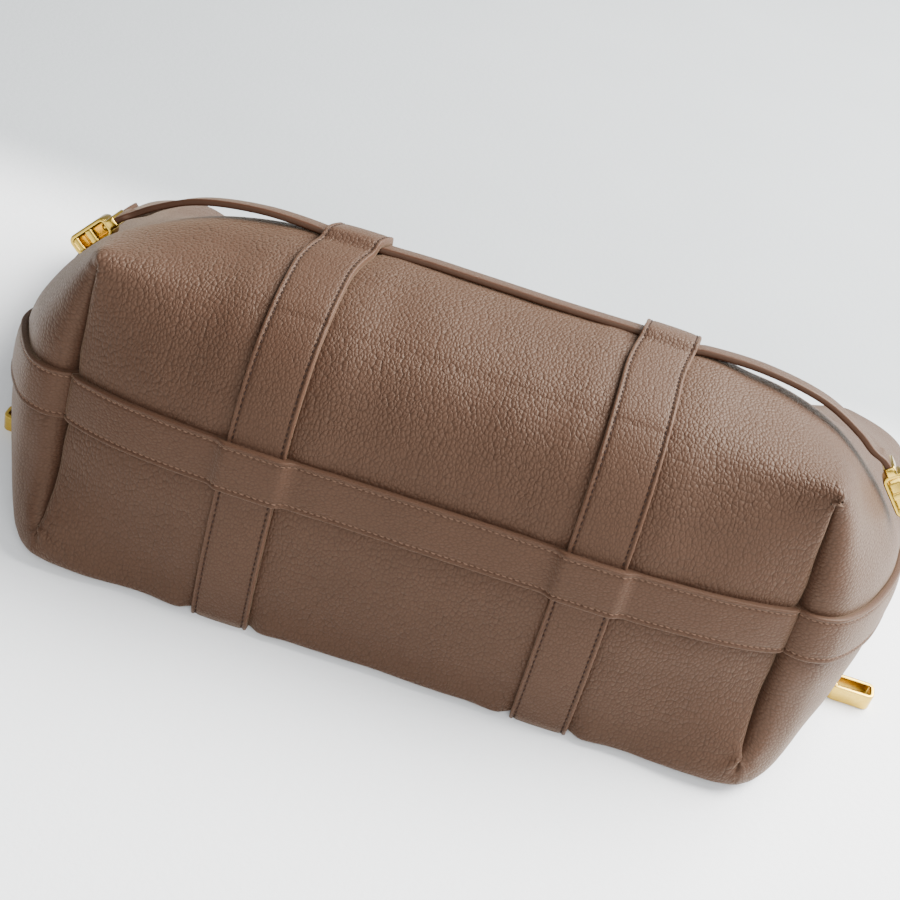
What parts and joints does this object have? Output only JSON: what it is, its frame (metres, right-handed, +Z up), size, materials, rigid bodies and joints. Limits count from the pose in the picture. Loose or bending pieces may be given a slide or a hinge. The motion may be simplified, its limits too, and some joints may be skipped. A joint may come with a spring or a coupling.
{
  "type": "shopper bag",
  "caption": "Soft leather shopper bag lying on its back face, with straps, bands, side belts, swivel clasps and folding handles.",
  "frame": {"origin": "middle of the bounding box's footprint, on the table the bag lies on", "axes": "+X along the bag's length to its right end, +Y from the base to the mouth, +Z up from the table"},
  "size_m": [0.4632, 0.3376, 0.1512],
  "materials": {
    "front_panel": "pebbled grain, satin",
    "lining_front": "plain weave, matte",
    "mouth_facing_front": "smooth, satin",
    "magnetic_snap_front": "polished",
    "strap_front_left": "smooth, painted edges",
    "strap_front_right": "smooth, painted edges",
    "back_panel": "pebbled grain, satin",
    "lining_back": "plain weave, matte",
    "mouth_facing_back": "smooth, satin",
    "magnetic_snap_back": "polished",
    "strap_back_left": "smooth, painted edges",
    "strap_back_right": "smooth, painted edges",
    "end_band_left": "smooth, stitched along both edges",
    "front_belt_tip_left": "polished",
    "front_clasp_left": "polished",
    "back_belt_tip_left": "polished",
    "back_ring_left": "polished",
    "end_band_right": "smooth, stitched along both edges",
    "front_belt_tip_right": "polished",
    "front_clasp_right": "polished",
    "back_belt_tip_right": "polished",
    "back_ring_right": "polished",
    "base_band": "smooth, stitched along both edges",
    "base_board": "matte",
    "front_belt": "smooth, painted edges",
    "back_belt": "smooth, painted edges",
    "front_handle": "smooth, rolled",
    "back_handle": "smooth, rolled"
  },
  "bodies": {
    "bag": {"front_panel": "front_panel", "lining_front": "lining_front", "mouth_facing_front": "mouth_facing_front", "magnetic_snap_front": "magnetic_snap_front", "strap_front_left": "strap_front_left", "strap_front_right": "strap_front_right", "back_panel": "back_panel", "lining_back": "lining_back", "mouth_facing_back": "mouth_facing_back", "magnetic_snap_back": "magnetic_snap_back", "strap_back_left": "strap_back_left", "strap_back_right": "strap_back_right", "end_band_left": "end_band_left", "front_belt_tip_left": "front_belt_tip_left", "back_belt_tip_left": "back_belt_tip_left", "end_band_right": "end_band_right", "front_belt_tip_right": "front_belt_tip_right", "back_belt_tip_right": "back_belt_tip_right", "base_band": "base_band", "base_board": "base_board", "front_belt": "front_belt", "back_belt": "back_belt"},
    "front_handle_body": {"front_handle": "front_handle"},
    "back_handle_body": {"back_handle": "back_handle"},
    "front_clasp_left_body": {"front_clasp_left": "front_clasp_left"},
    "front_clasp_right_body": {"front_clasp_right": "front_clasp_right"},
    "back_ring_left_body": {"back_ring_left": "back_ring_left"},
    "back_ring_right_body": {"back_ring_right": "back_ring_right"}
  },
  "joints": [
    {"name": "front_handle_fold", "type": "hinge", "parent": "bag", "child": "front_handle_body", "pos_m": [0, 0.08898, 0.03982], "axis": [-1, 0, 0], "range_deg": [0, 150]},
    {"name": "back_handle_fold", "type": "hinge", "parent": "bag", "child": "back_handle_body", "pos_m": [0, 0.079, 0.0032], "axis": [-1, 0, 0], "range_deg": [-55, 0]},
    {"name": "front_clasp_left_swivel", "type": "hinge", "parent": "bag", "child": "front_clasp_left_body", "pos_m": [-0.1969, -0.0582, 0.10864], "axis": [-0.6611, -0.1751, -0.7295], "continuous": true},
    {"name": "back_ring_left_swivel", "type": "hinge", "parent": "bag", "child": "back_ring_left_body", "pos_m": [-0.21317, -0.08272, 0.0048], "axis": [-1, 0, 0], "continuous": true},
    {"name": "front_clasp_right_swivel", "type": "hinge", "parent": "bag", "child": "front_clasp_right_body", "pos_m": [0.19582, -0.0582, 0.10864], "axis": [0.6611, -0.1751, -0.7295], "continuous": true},
    {"name": "back_ring_right_swivel", "type": "hinge", "parent": "bag", "child": "back_ring_right_body", "pos_m": [0.21209, -0.08272, 0.0048], "axis": [1, 0, 0], "continuous": true}
  ]
}
